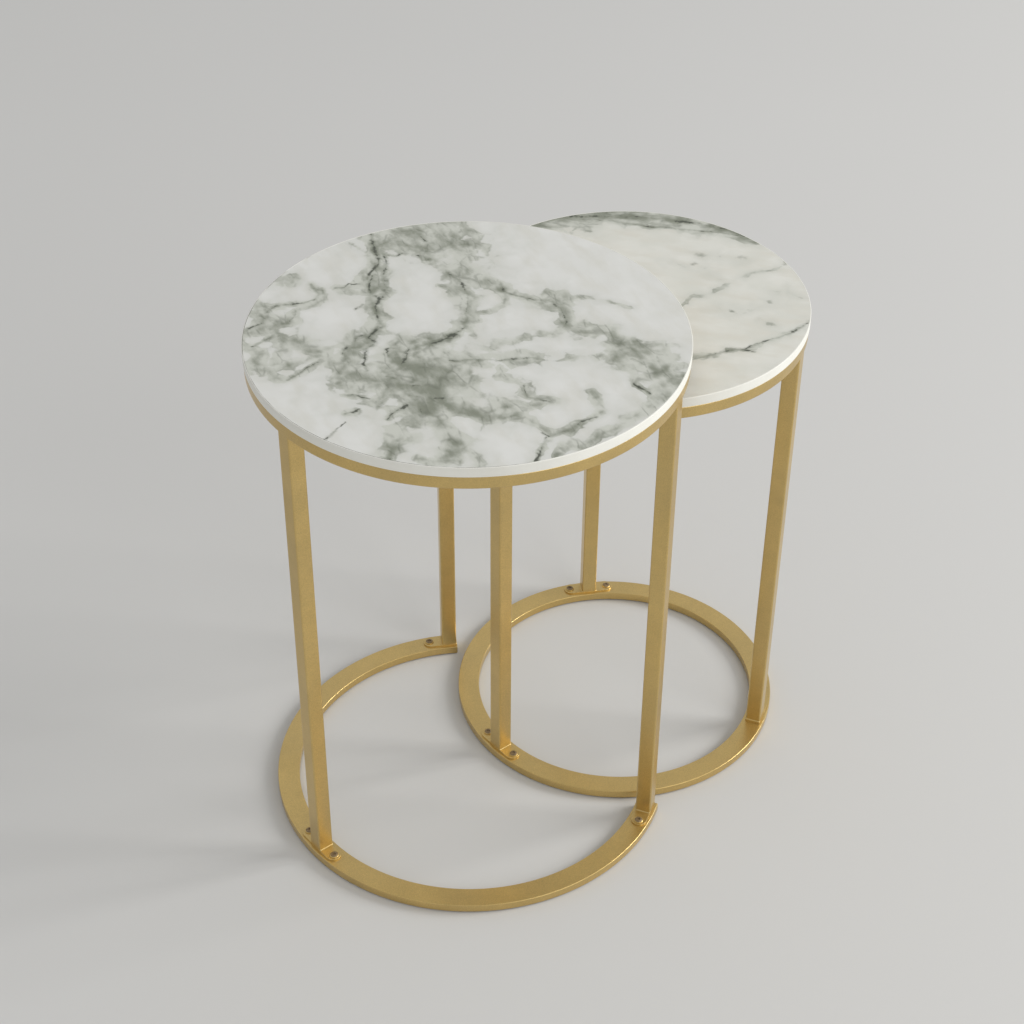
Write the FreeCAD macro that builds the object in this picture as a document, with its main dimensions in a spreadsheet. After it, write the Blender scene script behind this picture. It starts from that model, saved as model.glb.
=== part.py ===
import FreeCAD, Part
import math
import operator
import os
import Sketcher

# A pair of round nesting side tables.  Each has a stone slab bonded to a welded frame of a
# rolled top ring and three square legs, and the legs' plates are screwed to a flat base
# ring.  The small table slides along +X out from under the large one, whose base ring is a
# C open that way.
# Frame: millimetres, +Z up, origin on the floor at the middle of the pair.

SIZES = {
    # the two tables
    "large_slab_radius": 225,
    "large_height": 606,
    "small_slab_radius": 190,
    "small_height": 561,
    "pulled_out": 223,              # from one table's axis to the other's
    # stone slab, bonded to the top ring
    "slab_thickness": 11,
    "slab_overhang": 0.8,           # past the top ring
    # tube of the frame
    "tube_wall": 1.5,
    "tube_depth": 18,               # radial, shared by the top ring and the legs under it
    "top_ring_height": 14,
    "leg_width": 18,                # along the ring
    "leg_corner": 1.8,
    "leg_spread": 60,               # side legs, in degrees from the pull-out direction
    # flat bar of the base ring
    "base_width": 25,
    "base_height": 10,
    "base_end_margin": 1.5,         # past the side of the last leg, where the C ends
    # plates under the legs
    "plate_thickness": 2,
    "plate_reach": 15,              # from the leg's side to the screw
    "plate_tip": 7,                 # from the screw to the end of the tab
    "plate_heel": 0.8,              # past the leg's side where there is no tab
    # M6 low-head screws through the plates, in tapped holes of the base ring
    "screw_radius": 2.9,
    "screw_length": 8,
    "screw_head_radius": 5.3,
    "screw_head_height": 3.2,
    "screw_socket": 4,              # across flats
    "screw_socket_depth": 2,
    "screw_play": 0.4,              # round the shank in the plate
    "thread_gap": 0.1,
    "tapped_depth": 8,
    # felt pads under the base ring
    "pad_thickness": 1.5,
    "pad_width": 15,
    "pad_length": 45,
    "pad_end": 8,                   # from the C's end to the first pad
}
LARGE_PADS = 5
SMALL_PADS = 6

doc = FreeCAD.newDocument("nesting_tables")
sheet = doc.addObject("Spreadsheet::Sheet", "Sizes")
for row, (alias, number) in enumerate(SIZES.items(), start=1):
    sheet.set(f"A{row}", alias)
    sheet.set(f"B{row}", str(number))
    sheet.setAlias(f"B{row}", alias)
doc.recompute()


class Size:
    """A length, or an angle in degrees: its number now and its formula over the sheet."""

    def __init__(self, number, formula):
        self.number = number
        self.formula = formula

    def joined(self, sign, other, operation):
        other = plain(other)
        formula = f"({self.formula} {sign} {other.formula})"
        return Size(operation(self.number, other.number), formula)

    def __add__(self, other):
        return self.joined("+", other, operator.add)

    def __sub__(self, other):
        return self.joined("-", other, operator.sub)

    def __mul__(self, other):
        return self.joined("*", other, operator.mul)

    def __truediv__(self, other):
        return self.joined("/", other, operator.truediv)

    def __neg__(self):
        return plain(0) - self


def plain(number):
    """A plain number as a Size."""
    return number if isinstance(number, Size) else Size(number, str(number))


def size(alias):
    """The sheet's value of that name."""
    return Size(float(SIZES[alias]), f"Sizes.{alias}")


def cosine(angle):
    return Size(math.cos(math.radians(angle.number)), f"cos({angle.formula} * 1 deg)")


def sine(angle):
    return Size(math.sin(math.radians(angle.number)), f"sin({angle.formula} * 1 deg)")


def arc_angle(across, radius):
    """The angle, in degrees, whose sine is across / radius."""
    ratio = across / radius
    return Size(math.degrees(math.asin(ratio.number)), f"(asin({ratio.formula}) / 1 deg)")


def other_leg(long_side, short_side):
    """The third side of a right-angled triangle."""
    square = long_side * long_side - short_side * short_side
    return Size(math.sqrt(square.number), f"sqrt({square.formula})")


def bind(thing, name, value):
    thing.setExpression(name, plain(value).formula)


def place(thing, x=0, y=0, z=0, turn=0):
    """Stand a piece at x, y, z, turned about its own upright axis."""
    thing.Placement.Rotation = FreeCAD.Rotation(FreeCAD.Vector(0, 0, 1), 1)
    for axis, value in (("x", x), ("y", y), ("z", z)):
        bind(thing, f"Placement.Base.{axis}", value)
    bind(thing, "Placement.Rotation.Angle", turn)
    return thing


# ---------------------------------------------------------------- sketches and features

def new_body(label):
    body = doc.addObject("PartDesign::Body", label)
    body.Label = label
    return body


def new_sketch(body, name, role="XY_Plane", lift=None):
    """A sketch on one of the body's own origin planes, lifted off it if asked."""
    sketch = body.newObject("Sketcher::SketchObject", f"{body.Name}_{name}")
    plane = next(f for f in body.Origin.OriginFeatures if f.Role == role)
    sketch.AttachmentSupport = [(plane, "")]
    sketch.MapMode = "FlatFace"
    if lift is not None:
        bind(sketch, "AttachmentOffset.Base.z", lift)
    return sketch


def constrain(sketch, kind, *places_and_size):
    """A dimension whose last argument is a Size, bound to the sheet."""
    *places, value = places_and_size
    index = sketch.addConstraint(Sketcher.Constraint(kind, *places, value.number))
    sketch.setExpression(f"Constraints[{index}]", value.formula)


def pin(sketch, geometry, end, x, y):
    """Hold a point of the sketch at x, y; None keeps it on that axis."""
    for value, kind, axis in ((x, "DistanceX", -2), (y, "DistanceY", -1)):
        if value is None:
            sketch.addConstraint(Sketcher.Constraint("PointOnObject", geometry, end, axis))
        else:
            constrain(sketch, kind, -1, 1, geometry, end, value)


def outline(sketch, corners):
    """A closed outline of straight lines through corners given as pairs of Sizes."""
    points = [FreeCAD.Vector(*(0 if c is None else c.number for c in pair), 0) for pair in corners]
    first = sketch.GeometryCount
    count = len(points)
    for index in range(count):
        sketch.addGeometry(Part.LineSegment(points[index], points[(index + 1) % count]), False)
    for index in range(count):
        following = first + (index + 1) % count
        sketch.addConstraint(Sketcher.Constraint("Coincident", first + index, 2, following, 1))
    for index, (x, y) in enumerate(corners):
        pin(sketch, first + index, 1, x, y)


def rectangle(sketch, left, right, low, high):
    outline(sketch, ((left, low), (right, low), (right, high), (left, high)))


def circle(sketch, x, y, radius):
    centre = FreeCAD.Vector(x.number if x else 0, y.number if y else 0, 0)
    index = sketch.addGeometry(Part.Circle(centre, FreeCAD.Vector(0, 0, 1), radius.number), False)
    pin(sketch, index, 3, x, y)
    constrain(sketch, "Radius", index, radius)


def pad(body, sketch, length):
    feature = body.newObject("PartDesign::Pad", f"{sketch.Name}_pad")
    feature.Profile = sketch
    bind(feature, "Length", length)
    return feature


def pocket(body, sketch, depth, upwards=False):
    """Cut the sketch's shape down from its plane, or upwards into what lies above it."""
    doc.recompute()
    before = body.Shape.Volume
    feature = body.newObject("PartDesign::Pocket", f"{sketch.Name}_pocket")
    feature.Profile = sketch
    feature.Reversed = upwards
    bind(feature, "Length", depth)
    doc.recompute()
    if body.Shape.Volume >= before:
        raise RuntimeError(f"{feature.Name} cuts nothing")
    return feature


def revolve(body, sketch, angle=None):
    """Turn an upright profile about the body's Z axis, evenly to both sides of the profile."""
    feature = body.newObject("PartDesign::Revolution", f"{sketch.Name}_turn")
    feature.Profile = sketch
    feature.ReferenceAxis = (sketch, ["V_Axis"])
    if angle is None:
        feature.Angle = 360
    else:
        feature.Midplane = True
        bind(feature, "Angle", angle)
    return feature


def fillet(body, feature, radius, test):
    """Round the feature's edges that pass the test."""
    doc.recompute()
    edges = feature.Shape.Edges
    names = [f"Edge{number}" for number, edge in enumerate(edges, start=1) if test(edge)]
    if not names:
        raise RuntimeError(f"{body.Label} has no such edge")
    rounding = body.newObject("PartDesign::Fillet", f"{feature.Name}_fillet")
    rounding.Base = (feature, names)
    bind(rounding, "Radius", radius)
    return rounding


def is_upright(edge, x):
    """True for an upright edge at that x of its own body."""
    low, high = edge.Vertexes[0].Point, edge.Vertexes[-1].Point
    upright = abs(low.x - high.x) < 0.01 and abs(low.y - high.y) < 0.01
    return upright and abs(low.x - x.number) < 0.01


def gather(label, things):
    """One node of several separate solids."""
    group = doc.addObject("Part::Compound", label)
    group.Label = label
    group.Links = things
    return group


def copies(label, master, spots):
    """One node of equal, separate solids: links to a master, each placed on its own spot."""
    links = []
    for number, spot in enumerate(spots, start=1):
        link = doc.addObject("App::Link", f"{label}_{number}")
        link.LinkedObject = master
        links.append(place(link, **spot))
    return gather(label, links)


# -------------------------------------------------------------------------- shared screw

def make_screw_master():
    """A low-head socket screw, its head's underside at height zero and its shank below."""
    body = new_body("screw_master")
    profile = new_sketch(body, "profile", "XZ_Plane")
    shank = size("screw_radius")
    top = size("screw_head_height")
    outline(profile, (
        (None, -size("screw_length")), (shank, -size("screw_length")), (shank, None),
        (size("screw_head_radius"), None), (size("screw_head_radius"), top), (None, top)))
    revolve(body, profile)
    socket = new_sketch(body, "socket", "XY_Plane", top)
    corner = size("screw_socket") / 2 / cosine(plain(30))
    outline(socket, [
        (corner * cosine(plain(turn)), corner * sine(plain(turn)) if turn % 180 else None)
        for turn in range(0, 360, 60)])
    pocket(body, socket, size("screw_socket_depth"))
    return body


screw_master = make_screw_master()


# ------------------------------------------------------------------------------ one table

class Table:
    """The sizes and heights that the pieces of one table share."""

    def __init__(self, name, axis_x, open_base, right_tab_side, pads):
        self.name = name
        self.axis_x = axis_x
        self.open_base = open_base
        self.right_tab_side = right_tab_side
        self.pads = pads
        self.slab_radius = size(f"{name}_slab_radius")
        self.ring_outer, self.leg_line, self.base_outer = frame_radii(self.slab_radius)
        self.ring_inner = self.ring_outer - size("tube_depth")
        self.base_inner = self.base_outer - size("base_width")
        self.base_bottom = size("pad_thickness")
        self.base_top = self.base_bottom + size("base_height")
        self.leg_bottom = self.base_top + size("plate_thickness")
        self.slab_bottom = size(f"{name}_height") - size("slab_thickness")
        self.ring_bottom = self.slab_bottom - size("top_ring_height")
        self.screw_side = size("leg_width") / 2 + size("plate_reach")
        end_side = size("leg_width") / 2 + size("base_end_margin")
        self.end_angle = size("leg_spread") - arc_angle(end_side, self.leg_line)

    def legs(self):
        """Each leg's name, its angle from the pull-out direction and its plate's tab sides."""
        left_sides = (1,) if self.open_base else (1, -1)
        return (
            ("back", plain(180), (1, -1)),
            ("left", size("leg_spread"), left_sides),
            ("right", -size("leg_spread"), (self.right_tab_side,)))

    def screw_spots(self):
        """Where the screws stand, from the table's own axis."""
        for _, angle, sides in self.legs():
            for side in sides:
                across = self.screw_side * side
                yield (self.leg_line * cosine(angle) - across * sine(angle),
                       self.leg_line * sine(angle) + across * cosine(angle))

    def label(self, piece):
        return f"{self.name}_{piece}"


def frame_radii(slab_radius):
    """Outer radius of the top ring, centre line of the legs and outer radius of the base.

    The legs' outer corners lie on the top ring's outer face, and the base ring is centred
    under the legs.
    """
    ring_outer = slab_radius - size("slab_overhang")
    leg_face = other_leg(ring_outer, size("leg_width") / 2)
    leg_line = leg_face - size("tube_depth") / 2
    return ring_outer, leg_line, leg_line + size("base_width") / 2


def make_slab(table):
    """Round stone slab with a square edge."""
    body = new_body(table.label("tabletop"))
    disc = new_sketch(body, "disc")
    circle(disc, None, None, table.slab_radius)
    pad(body, disc, size("slab_thickness"))
    return place(body, x=table.axis_x, z=table.slab_bottom)


def make_top_ring(table):
    """Rolled rectangular tube, closed on itself."""
    body = new_body(table.label("top_ring"))
    wall = size("tube_wall")
    tube = new_sketch(body, "tube", "XZ_Plane")
    rectangle(tube, table.ring_inner, table.ring_outer, None, size("top_ring_height"))
    rectangle(tube, table.ring_inner + wall, table.ring_outer - wall,
              wall, size("top_ring_height") - wall)
    revolve(body, tube)
    return place(body, x=table.axis_x, z=table.ring_bottom)


def make_leg(table, name, angle):
    """Square tube from its plate up to the top ring."""
    body = new_body(table.label(f"leg_{name}"))
    section = new_sketch(body, "section")
    wall = size("tube_wall")
    half_depth = size("tube_depth") / 2
    half_width = size("leg_width") / 2
    inner = table.leg_line - half_depth
    outer = table.leg_line + half_depth
    rectangle(section, inner, outer, -half_width, half_width)
    rectangle(section, inner + wall, outer - wall, wall - half_width, half_width - wall)
    tube = pad(body, section, table.ring_bottom - table.leg_bottom)
    fillet(body, tube, size("leg_corner"),
           lambda edge: is_upright(edge, inner) or is_upright(edge, outer))
    return place(body, x=table.axis_x, z=table.leg_bottom, turn=angle)


def make_plate(table, name, angle, sides):
    """Plate under a leg, with a rounded tab and a screw hole on each of the given sides."""
    body = new_body(table.label(f"plate_{name}"))
    radius = size("tube_depth") / 2
    round_side = table.screw_side + size("plate_tip") - radius
    heel_side = size("leg_width") / 2 + size("plate_heel")
    middle = new_sketch(body, "middle")
    rectangle(middle, table.leg_line - radius, table.leg_line + radius,
              -(round_side if -1 in sides else heel_side), round_side if 1 in sides else heel_side)
    pad(body, middle, size("plate_thickness"))
    for side in sides:
        tab = new_sketch(body, f"tab_{'left' if side > 0 else 'right'}")
        circle(tab, table.leg_line, round_side * side, radius)
        pad(body, tab, size("plate_thickness"))
    holes = new_sketch(body, "holes")
    for side in sides:
        circle(holes, table.leg_line, table.screw_side * side,
               size("screw_radius") + size("screw_play"))
    pocket(body, holes, size("plate_thickness"), upwards=True)
    return place(body, x=table.axis_x, z=table.base_top, turn=angle)


def make_base_ring(table):
    """Flat bar, bent to a full circle or to a C, with a tapped hole for each screw."""
    body = new_body(table.label("base_ring"))
    section = new_sketch(body, "section", "XZ_Plane")
    rectangle(section, table.base_inner, table.base_outer, None, size("base_height"))
    revolve(body, section, plain(360) - table.end_angle * 2 if table.open_base else None)
    holes = new_sketch(body, "tapped_holes", "XY_Plane", size("base_height"))
    for x, y in table.screw_spots():
        # the ring is drawn about its own +X and turned round, so that a C opens towards +X
        circle(holes, -x, -y, size("screw_radius") + size("thread_gap"))
    pocket(body, holes, size("tapped_depth"))
    return place(body, x=table.axis_x, z=table.base_bottom, turn=plain(180))


def make_pads(table):
    """Straight felt pads, spread evenly under the base ring."""
    body = new_body(table.label("pad_master"))
    half_width = size("pad_width") / 2
    half_length = size("pad_length") / 2
    shape = new_sketch(body, "shape")
    rectangle(shape, table.leg_line - half_width, table.leg_line + half_width,
              -half_length, half_length)
    pad(body, shape, size("pad_thickness"))
    first = plain(0)
    pitch = plain(360) / table.pads
    if table.open_base:
        first = table.end_angle + arc_angle(size("pad_end") + half_length, table.leg_line)
        pitch = (plain(360) - first * 2) / (table.pads - 1)
    spots = [dict(x=table.axis_x, turn=first + pitch * count) for count in range(table.pads)]
    return copies(table.label("base_pads"), body, spots)


def make_screws(table):
    """Screws through the plates into the base ring."""
    spots = [dict(x=table.axis_x + x, y=y, z=table.leg_bottom) for x, y in table.screw_spots()]
    return copies(table.label("base_screws"), screw_master, spots)


def make_table(table):
    """Every piece of one table."""
    legs = [make_leg(table, name, angle) for name, angle, _ in table.legs()]
    plates = [make_plate(table, name, angle, sides) for name, angle, sides in table.legs()]
    return [
        make_slab(table), make_top_ring(table), *legs, gather(table.label("leg_plates"), plates),
        make_screws(table), make_base_ring(table), make_pads(table)]


# the origin is at the middle of the pair's length, from base ring to base ring
large_reach = frame_radii(size("large_slab_radius"))[2]
small_reach = frame_radii(size("small_slab_radius"))[2]
large_axis = (large_reach - small_reach - size("pulled_out")) / 2
small_axis = large_axis + size("pulled_out")

pieces = make_table(Table("large", large_axis, True, -1, LARGE_PADS))
pieces += make_table(Table("small", small_axis, False, 1, SMALL_PADS))
doc.recompute()

for thing in doc.Objects:
    if {"Invalid", "Error"} & set(thing.State):
        raise RuntimeError(f"{thing.Label} failed: {thing.State}")
for piece in pieces:
    if piece.Shape.isNull() or not piece.Shape.isValid() or not piece.Shape.Solids:
        raise RuntimeError(f"{piece.Label} has no sound solid")

os.makedirs("parts", exist_ok=True)
for piece in pieces:
    piece.Shape.exportStep(os.path.join("parts", f"{piece.Label}.step"))
print(len(pieces), "pieces written")
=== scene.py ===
"""Looks of a pair of round nesting tables: stone-faced tops on gold tube frames.

Every piece is in metres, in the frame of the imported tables, and rides on the body
large_table or small_table. Only the stone's drawing is in millimetres, from the
middle of its slab.
"""

import math

import bmesh
import bpy
from mathutils import Matrix, Vector


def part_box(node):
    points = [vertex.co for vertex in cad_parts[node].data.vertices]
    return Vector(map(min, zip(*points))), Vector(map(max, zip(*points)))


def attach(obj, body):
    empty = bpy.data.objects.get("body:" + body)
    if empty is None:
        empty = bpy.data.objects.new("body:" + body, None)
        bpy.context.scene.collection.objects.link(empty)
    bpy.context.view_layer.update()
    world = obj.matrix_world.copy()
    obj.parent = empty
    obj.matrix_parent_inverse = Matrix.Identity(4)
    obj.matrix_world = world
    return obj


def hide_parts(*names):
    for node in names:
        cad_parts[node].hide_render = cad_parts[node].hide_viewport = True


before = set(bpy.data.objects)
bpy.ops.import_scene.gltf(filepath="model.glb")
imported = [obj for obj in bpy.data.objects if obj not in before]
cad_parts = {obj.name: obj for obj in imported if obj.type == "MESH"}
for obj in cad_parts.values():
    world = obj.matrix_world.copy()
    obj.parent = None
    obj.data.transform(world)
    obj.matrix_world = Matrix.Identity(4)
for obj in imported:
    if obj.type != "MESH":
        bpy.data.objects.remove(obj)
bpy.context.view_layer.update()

MM = 0.001
FULL_TURN = 2 * math.pi
TABLES = ("large", "small")
TURNS = {"back": 0.0, "right": math.radians(120), "left": math.radians(-120)}

# Nearer than this is the same place, and a normal this much upright faces up or down.
TOUCH = 1e-6
UPRIGHT = 0.9

# Rounded edges: the radius, and the steps in the round.
SLAB_ARRIS = (0.6 * MM, 4)
HOOP_ARRIS = (1.5 * MM, 4)
BAR_ARRIS = (0.9 * MM, 4)
BAR_END_ARRIS = (0.35 * MM, 2)
POST_ARRIS = (1.8 * MM, 5)
TAB_ROUND = (8.9 * MM, 12)
TAB_ARRIS = (0.4 * MM, 3)
PAD_CORNER = (2.5 * MM, 4)
PAD_ARRIS = (0.35 * MM, 2)

# Faces that meet at less than this many degrees are shaded as one round.
ROUND_BELOW = 35
POST_ROUND_BELOW = 50
SCREW_ROUND_BELOW = 30
PAD_ROUND_BELOW = 60
FLATS_WEIGHT = 60

# Slab
SLAB_SIDES = 256
RIM_BORDER = 0.15 * MM
SEAM_WALL = 0.1 * MM
SEAM_FLOOR = 0.25 * MM
SEAM_DEPTH = 0.25 * MM

# Frame. The weld at a post's foot goes down in steps: shares of its flare and of its rise.
HOOP_STEPS = 192
TUBE_DEPTH = 18 * MM
POST_INTO_HOOP = 8 * MM
WELD_RISE = 1.3 * MM
WELD_FLARE = 0.9 * MM
WELD_STEPS = ((0.15, 0.45), (0.35, 0.3), (0.5, 0.25))
BAR_WIDTH = 25 * MM
C_HALF_OPENING = 57.2
C_HALF_SWEEP = math.radians(180 - C_HALF_OPENING)
TAB_REACH = 31 * MM
TAB_HEEL = 9.8 * MM
SCREW_ASIDE = 24 * MM

# Which sides of each foot carry a screwed tab: +1 and -1 are turns about the axis.
TABS = {
    "large": {"back": (-1, 1), "left": (1,), "right": (-1,)},
    "small": {"back": (-1, 1), "left": (-1, 1), "right": (1,)},
}

# Screws. The rim goes inwards and up from the skirt, then down to the groove round the dome.
SCREW_SIDES = 48
SCREW_HEAD = 5.3 * MM
SCREW_SKIRT = 0.9 * MM
SCREW_RIM = ((0.25 * MM, 0.25 * MM), (0.35 * MM, 0.12 * MM), (0.35 * MM, -0.1 * MM),
             (0.15 * MM, -0.25 * MM))
SCREW_CROWN = 1.9 * MM
DOME_STEPS = 6
DOME_TURN = math.pi / 2 * 0.72
DOME_SHARE = 0.62
SOCKET_ACROSS = 4.0 * MM
SOCKET_DEPTH = 2.3 * MM
SHANK_RADIUS = 2.9 * MM
SHANK_POINT = 0.5 * MM

# Each screw stopped at a turn of its own, in radians.
FIRST_SPIN, NEXT_SPIN = 0.4, 1.7

# Felt pads. The large ring has one at its back and so many on each side of that.
PAD_LONG, PAD_WIDE = 45 * MM, 15 * MM
PAD_FROM_END = 8 * MM
SMALL_PADS = 6
LARGE_PADS_ASIDE = 2

# Studio. Each lamp: its place, the length of its sides, and its power.
FLOOR_SIZE = 40
AIR_WHITE = (0.99, 0.995, 1.0, 1)
AIR_STRENGTH = 0.6
LAMP_WHITE = (1.0, 0.995, 0.985)
LAMP_AIM = Vector((0, 0, 0.3))
LAMPS = {
    "side window": (Vector((5.6, -3.5, 3.5)), 3.1, 330),
    "front fill": (Vector((0.3, -5.0, 3.0)), 3.4, 70),
}

# Camera
CAMERA_PLACE = Vector((-1.16715, -1.39037, 1.73854))
CAMERA_RIGHT = Vector((0.762905, -0.646022, 0.025127))
CAMERA_UP = Vector((0.395082, 0.496622, 0.772837))
CAMERA_AHEAD = Vector((0.511749, 0.579674, -0.634107))
LENS_LENGTH = 72.894
FILM_WIDTH = 36
LENS_SHIFT = (-0.0627, 0.0600)


# ---- hand tools


def lay_down_tools():
    """Nothing is selected and nothing is being edited."""
    if bpy.context.object and bpy.context.object.mode != "OBJECT":
        bpy.ops.object.mode_set(mode="OBJECT")
    bpy.ops.object.select_all(action="DESELECT")


def take_up(name, stretch=(1, 1, 1)):
    """The piece just added gets its name and size, and is opened for editing."""
    piece = bpy.context.object
    piece.name = piece.data.name = name
    piece.scale = stretch
    bpy.ops.object.transform_apply(location=True, rotation=True, scale=True)
    bpy.ops.object.mode_set(mode="EDIT")
    return piece


def turn_disc(sides, radius, depth, middle):
    """A plain upright disc of so many sides."""
    lay_down_tools()
    bpy.ops.mesh.primitive_cylinder_add(vertices=sides, radius=radius, depth=depth, location=middle)


def saw_block(name, middle, size):
    """A plain block, ready to be shaped."""
    lay_down_tools()
    bpy.ops.mesh.primitive_cube_add(size=1, location=middle)
    return take_up(name, size)


def pick(piece, kind, wanted):
    """Selects only the verts, edges or faces that are wanted."""
    bpy.ops.mesh.select_mode(type={"verts": "VERT", "edges": "EDGE", "faces": "FACE"}[kind])
    bpy.ops.mesh.select_all(action="DESELECT")
    shape = bmesh.from_edit_mesh(piece.data)
    for part in getattr(shape, kind):
        if wanted(part):
            part.select_set(True)
    bmesh.update_edit_mesh(piece.data)


def lies_at(edge, height):
    return all(abs(v.co.z - height) < TOUCH for v in edge.verts)


def stands_up(edge):
    a, b = (v.co for v in edge.verts)
    return math.hypot(a.x - b.x, a.y - b.y) < TOUCH


def faces_up(face):
    return face.normal.z > UPRIGHT


def faces_down(face):
    return face.normal.z < -UPRIGHT


def has_many_sides(face):
    return len(face.verts) > 4


def round_over(edge, affect="EDGES", clamp=False):
    """Rounds what is picked, by a rounded edge's radius and steps."""
    radius, steps = edge
    bpy.ops.mesh.bevel(offset=radius, segments=steps, affect=affect, clamp_overlap=clamp)


def push_down(depth):
    """Draws the picked face down and leaves walls behind it."""
    bpy.ops.mesh.extrude_region_move(TRANSFORM_OT_translate={"value": (0, 0, -depth)})


def paint_picked(piece, index):
    piece.active_material_index = index
    bpy.ops.object.material_slot_assign()


def close_up():
    """Doubled corners are merged, and all faces point out."""
    bpy.ops.mesh.select_mode(type="VERT")
    bpy.ops.mesh.select_all(action="SELECT")
    bpy.ops.mesh.remove_doubles(threshold=TOUCH)
    bpy.ops.mesh.normals_make_consistent(inside=False)


def put_down(piece, round_below=ROUND_BELOW):
    """Ends the editing: all faces point out, and the rounded edges shade softly."""
    close_up()
    bpy.ops.object.mode_set(mode="OBJECT")
    lay_down_tools()
    piece.select_set(True)
    bpy.context.view_layer.objects.active = piece
    bpy.ops.object.shade_smooth_by_angle(angle=math.radians(round_below))
    flats = piece.modifiers.new("flats stay flat", "WEIGHTED_NORMAL")
    flats.keep_sharp = True
    flats.weight = FLATS_WEIGHT
    bpy.ops.object.modifier_apply(modifier=flats.name)
    lay_down_tools()
    return piece


def copy_turned(piece, name, matrix):
    """A copy with a mesh of its own, moved by the matrix."""
    twin = piece.copy()
    twin.data = piece.data.copy()
    twin.name = twin.data.name = name
    bpy.context.scene.collection.objects.link(twin)
    twin.data.transform(matrix)
    return twin


def join_as(name, pieces):
    lay_down_tools()
    for piece in pieces:
        piece.select_set(True)
    bpy.context.view_layer.objects.active = pieces[0]
    bpy.ops.object.join()
    whole = bpy.context.object
    whole.name = whole.data.name = name
    lay_down_tools()
    return whole


def about(axis, angle):
    """A turn by angle about the table's upright axis."""
    middle = Matrix.Translation(axis)
    return middle @ Matrix.Rotation(angle, 4, "Z") @ middle.inverted()


# ---- sizes of each table


class Sizes:
    """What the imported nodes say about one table."""

    def __init__(self, table):
        nodes = ("tabletop", "top_ring", "leg_back", "leg_plates", "base_ring", "base_screws",
                 "base_pads")
        boxes = {node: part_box(f"{table}_{node}") for node in nodes}
        self.heights = {node: (low.z, high.z) for node, (low, high) in boxes.items()}
        slab_low, slab_high = boxes["tabletop"]
        hoop_low, hoop_high = boxes["top_ring"]
        post_low, post_high = boxes["leg_back"]
        bar_low, bar_high = boxes["base_ring"]
        self.axis = Vector(((slab_low.x + slab_high.x) / 2, 0, 0))
        self.slab_radius = (slab_high.x - slab_low.x) / 2
        self.hoop_radius = (hoop_high.x - hoop_low.x) / 2
        self.bar_radius = (bar_high.y - bar_low.y) / 2
        self.post_radius = self.axis.x - (post_low.x + post_high.x) / 2
        self.post_width = post_high.y - post_low.y


SIZES = {table: Sizes(table) for table in TABLES}


# ---- pieces


def make_slab(table, size, finishes):
    """A round slab with a soft arris, and a fine seam where its face meets its edge."""
    low, high = size.heights["tabletop"]
    middle = (size.axis.x, 0, (low + high) / 2)
    turn_disc(SLAB_SIDES, size.slab_radius, high - low, middle)
    slab = take_up(f"{table}_slab")
    for finish in finishes:
        slab.data.materials.append(finish)
    pick(slab, "edges", lambda e: lies_at(e, high) or lies_at(e, low))
    round_over(SLAB_ARRIS)
    pick(slab, "faces", lambda f: faces_up(f) and has_many_sides(f))
    bpy.ops.mesh.inset(thickness=RIM_BORDER)
    bpy.ops.mesh.inset(thickness=SEAM_WALL, depth=-SEAM_DEPTH)
    bpy.ops.mesh.inset(thickness=SEAM_FLOOR)
    bpy.ops.mesh.inset(thickness=SEAM_WALL, depth=SEAM_DEPTH)
    paint_picked(slab, 1)
    seam = high - SEAM_DEPTH
    pick(slab, "faces", lambda f: any(abs(v.co.z - seam) < TOUCH for v in f.verts))
    paint_picked(slab, 2)
    return put_down(slab)


def make_hoop(name, axis, outer, width, heights, arris, start, sweep, steps):
    """A bent bar or tube: a rounded section swept about the table's axis from the start angle."""
    lay_down_tools()
    low, high = heights
    middle = outer - width / 2
    east, north = axis.x + middle * math.cos(start), middle * math.sin(start)
    bpy.ops.mesh.primitive_plane_add(
        size=1,
        location=(east, north, (low + high) / 2),
        rotation=(math.pi / 2, 0, start),
    )
    hoop = take_up(name, (width, high - low, 1))
    bpy.ops.mesh.select_all(action="SELECT")
    round_over(arris, affect="VERTICES")
    bpy.ops.mesh.delete(type="ONLY_FACE")
    bpy.ops.mesh.select_all(action="SELECT")
    bpy.ops.mesh.spin(steps=steps, angle=-sweep, center=axis, axis=(0, 0, 1))
    if sweep < FULL_TURN:
        close_ends(hoop)
    return put_down(hoop)


def close_ends(hoop):
    """The two cut ends of the C, one on each side, are filled and their edges eased."""
    close_up()
    for side in (1, -1):
        pick(hoop, "edges", lambda e: e.is_boundary and e.verts[0].co.y * side > 0)
        bpy.ops.mesh.edge_face_add()
    bpy.ops.mesh.select_all(action="SELECT")
    bpy.ops.mesh.normals_make_consistent(inside=False)
    pick(hoop, "edges", lambda e: any(has_many_sides(f) for f in e.link_faces))
    round_over(BAR_END_ARRIS, clamp=True)


def make_back_post(table, size):
    """The upright at the back: a square tube with round corners and a small weld at its foot."""
    low, high = size.heights["leg_back"]
    foot, top = low + WELD_RISE, high + POST_INTO_HOOP
    width = size.post_width
    middle = (size.axis.x - size.post_radius, 0, (foot + top) / 2)
    post = saw_block(f"{table}_post_back", middle, (width, width, top - foot))
    pick(post, "edges", stands_up)
    round_over(POST_ARRIS)
    pick(post, "faces", faces_down)
    wide = 1 + 2 * WELD_FLARE / width
    for flare, rise in WELD_STEPS:
        push_down(WELD_RISE * rise)
        bpy.ops.transform.resize(value=(1, 1 + (wide - 1) * flare, 1))
    return put_down(post, POST_ROUND_BELOW)


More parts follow.
